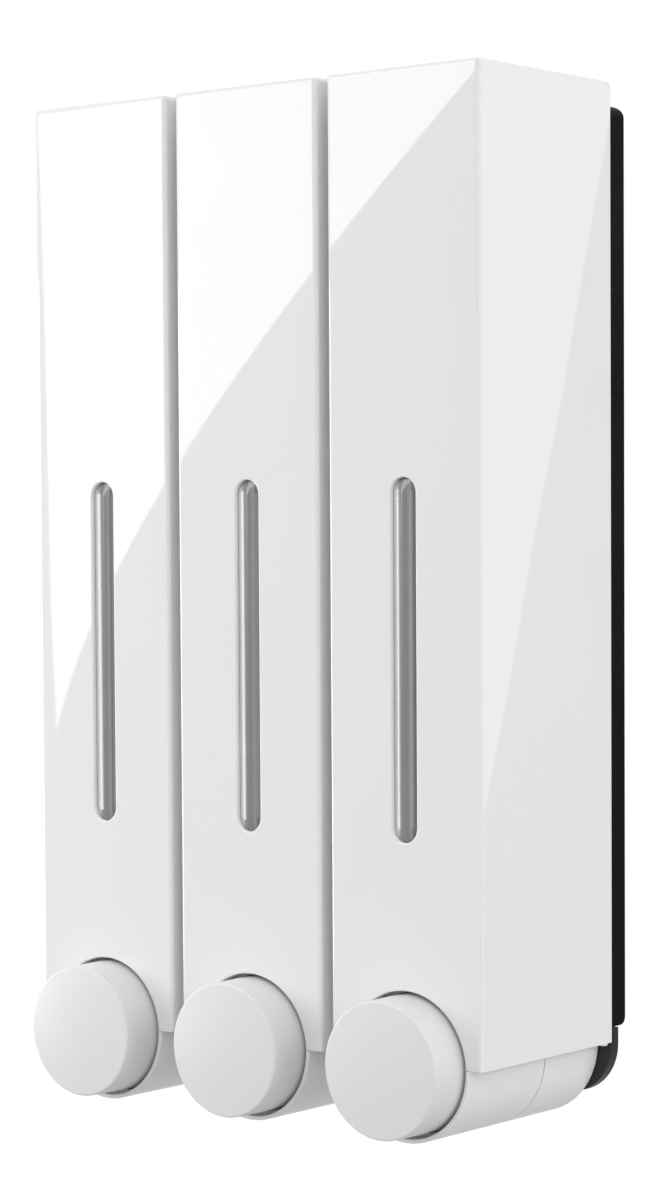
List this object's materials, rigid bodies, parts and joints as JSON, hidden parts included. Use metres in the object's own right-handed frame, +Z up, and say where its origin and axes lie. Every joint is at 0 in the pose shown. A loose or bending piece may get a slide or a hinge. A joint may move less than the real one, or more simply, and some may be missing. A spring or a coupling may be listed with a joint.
{
  "type": "wall mounted soap dispenser",
  "caption": "Wall mounted push-button soap dispenser: tall lift-off box covers with level windows over refillable bottles and pumps, on one shared wall plate.",
  "frame": {"origin": "centre of the wall plate's back face, where it lies on the wall", "axes": "+Z up, +X to the right seen from the front, +Y into the wall; the covers and buttons face -Y"},
  "size_m": [0.1388, 0.0694, 0.2488],
  "materials": {
    "cover_white": "high gloss moulded",
    "barrel_white": "semi-gloss moulded",
    "button_white": "satin moulded",
    "plate_black": "fine textured satin",
    "shell_black": "satin moulded",
    "window_smoke": "smoky translucent, polished",
    "bottle_clear": "translucent moulded",
    "cap_grey": "satin moulded",
    "pump_natural": "natural acetal",
    "seal_rubber": "matte",
    "valve_silicone": "translucent silicone",
    "spring_steel": "drawn stainless wire",
    "screw_steel": "zinc plated"
  },
  "bodies": {
    "base": {"wall_plate": "plate_black", "pump_screws": "screw_steel", "rear_shell_left": "shell_black", "rear_shell_middle": "shell_black", "rear_shell_right": "shell_black", "reservoir_left": "bottle_clear", "reservoir_middle": "bottle_clear", "reservoir_right": "bottle_clear", "pump_body_left": "barrel_white", "pump_body_middle": "barrel_white", "pump_body_right": "barrel_white", "barrel_sleeve_left": "barrel_white", "barrel_sleeve_middle": "barrel_white", "barrel_sleeve_right": "barrel_white", "return_spring_left": "spring_steel", "return_spring_middle": "spring_steel", "return_spring_right": "spring_steel", "inlet_valve_left": "valve_silicone", "inlet_valve_middle": "valve_silicone", "inlet_valve_right": "valve_silicone", "outlet_nozzle_left": "valve_silicone", "outlet_nozzle_middle": "valve_silicone", "outlet_nozzle_right": "valve_silicone", "spigot_seal_left": "seal_rubber", "spigot_seal_middle": "seal_rubber", "spigot_seal_right": "seal_rubber"},
    "cover_left": {"cover_left": "cover_white", "level_window_left": "window_smoke"},
    "button_left": {"push_button_left": "button_white", "piston_left": "pump_natural", "piston_seal_left": "seal_rubber"},
    "cap_left": {"filler_cap_left": "cap_grey", "cap_seal_left": "seal_rubber"},
    "cover_middle": {"cover_middle": "cover_white", "level_window_middle": "window_smoke"},
    "button_middle": {"push_button_middle": "button_white", "piston_middle": "pump_natural", "piston_seal_middle": "seal_rubber"},
    "cap_middle": {"filler_cap_middle": "cap_grey", "cap_seal_middle": "seal_rubber"},
    "cover_right": {"cover_right": "cover_white", "level_window_right": "window_smoke"},
    "button_right": {"push_button_right": "button_white", "piston_right": "pump_natural", "piston_seal_right": "seal_rubber"},
    "cap_right": {"filler_cap_right": "cap_grey", "cap_seal_right": "seal_rubber"}
  },
  "joints": [
    {"name": "cover_lift_left", "type": "slide", "parent": "base", "child": "cover_left", "axis": [0, 0, 1], "range_m": [0, 0.235]},
    {"name": "button_push_left", "type": "slide", "parent": "base", "child": "button_left", "axis": [0, 1, 0], "range_m": [0, 0.0085], "stiffness_N_per_m": 700, "springref_m": -0.0057, "deforming": ["return_spring_left"]},
    {"name": "cap_turn_left", "type": "hinge", "parent": "base", "child": "cap_left", "pos_m": [-0.0474, -0.031, 0.0909], "axis": [0, 0, 1], "range_deg": [0, 90]},
    {"name": "cover_lift_middle", "type": "slide", "parent": "base", "child": "cover_middle", "axis": [0, 0, 1], "range_m": [0, 0.235]},
    {"name": "button_push_middle", "type": "slide", "parent": "base", "child": "button_middle", "axis": [0, 1, 0], "range_m": [0, 0.0085], "stiffness_N_per_m": 700, "springref_m": -0.0057, "deforming": ["return_spring_middle"]},
    {"name": "cap_turn_middle", "type": "hinge", "parent": "base", "child": "cap_middle", "pos_m": [0, -0.031, 0.0909], "axis": [0, 0, 1], "range_deg": [0, 90]},
    {"name": "cover_lift_right", "type": "slide", "parent": "base", "child": "cover_right", "axis": [0, 0, 1], "range_m": [0, 0.235]},
    {"name": "button_push_right", "type": "slide", "parent": "base", "child": "button_right", "axis": [0, 1, 0], "range_m": [0, 0.0085], "stiffness_N_per_m": 700, "springref_m": -0.0057, "deforming": ["return_spring_right"]},
    {"name": "cap_turn_right", "type": "hinge", "parent": "base", "child": "cap_right", "pos_m": [0.0474, -0.031, 0.0909], "axis": [0, 0, 1], "range_deg": [0, 90]}
  ]
}
